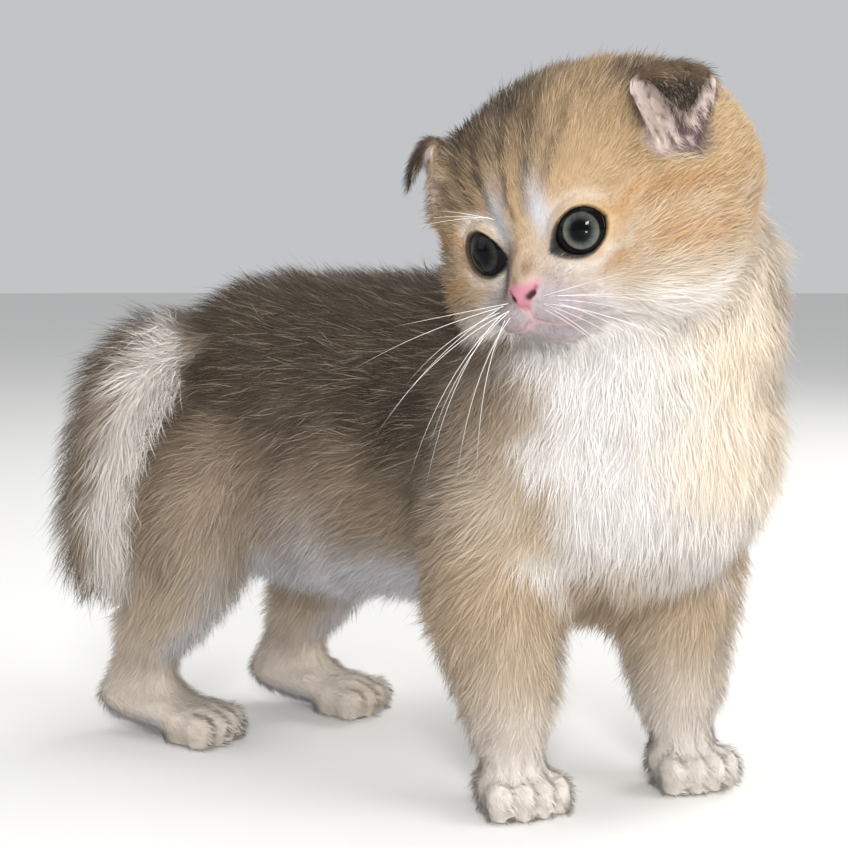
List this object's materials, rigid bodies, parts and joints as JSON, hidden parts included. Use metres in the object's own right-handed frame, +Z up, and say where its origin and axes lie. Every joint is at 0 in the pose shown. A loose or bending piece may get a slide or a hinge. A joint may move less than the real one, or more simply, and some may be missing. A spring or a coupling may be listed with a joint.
{
  "type": "scottish fold kitten, still figure",
  "caption": "Life-size still figure of a golden shaded Scottish Fold kitten standing with its head turned to its right and its folded ears forward.",
  "frame": {"origin": "on the floor, under the middle of the figure's bounding box", "axes": "+X from the tail towards the chest, +Y to the kitten's left, +Z up"},
  "size_m": [0.1878, 0.1098, 0.1694],
  "materials": {
    "gold_coat": "short plush fur, golden with brown stripes on the crown",
    "white_coat": "soft white fur",
    "brown_coat": "plush fur, brown-grey with pale bases and dark tips",
    "cream_coat": "short plush fur, cream to tan",
    "ear_skin": "thin pink skin inside, short brown fur on the back",
    "eye": "wet and glossy, grey-green iris, dark round pupil"
  },
  "bodies": {
    "root": {"head": "gold_coat", "neck": "white_coat", "torso": "brown_coat", "tail": "brown_coat", "foreleg_left": "cream_coat", "foreleg_right": "cream_coat", "hind_leg_left": "cream_coat", "hind_leg_right": "cream_coat", "ear_left": "ear_skin", "ear_right": "ear_skin", "eye_left": "eye", "eye_right": "eye"}
  },
  "joints": []
}
